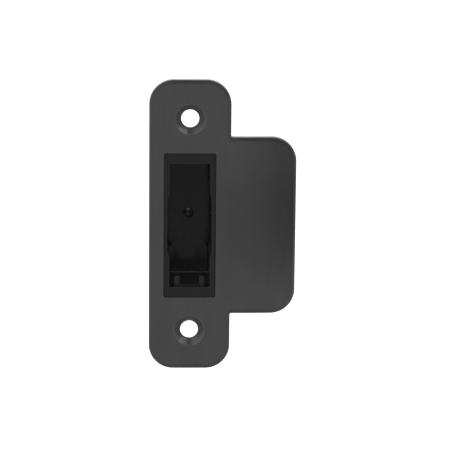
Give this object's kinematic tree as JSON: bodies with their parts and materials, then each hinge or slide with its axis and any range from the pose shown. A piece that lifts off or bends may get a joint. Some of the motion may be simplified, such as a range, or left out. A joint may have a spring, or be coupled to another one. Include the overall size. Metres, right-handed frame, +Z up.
{
  "type": "door strike plate",
  "caption": "Black door strike plate with a lip and two countersunk screw holes, and a moulded latch box set in its opening.",
  "frame": {"origin": "midway between the two screw holes, on the back face of the plate, which seats on the door frame", "axes": "+Z up along the plate's long side, +X across the plate towards the lip, +Y into the door frame, so the plate's face looks towards -Y"},
  "size_m": [0.045, 0.027, 0.09],
  "materials": {
    "coated_steel_plate": "satin black powder coat",
    "moulded_box": "fine matt moulded black",
    "painted_floor_plate": "semi-gloss black paint",
    "blackened_rivet": "blackened steel"
  },
  "bodies": {
    "root": {"strike_plate": "coated_steel_plate", "latch_box": "moulded_box", "floor_plate": "painted_floor_plate", "floor_rivet": "blackened_rivet"}
  },
  "joints": []
}
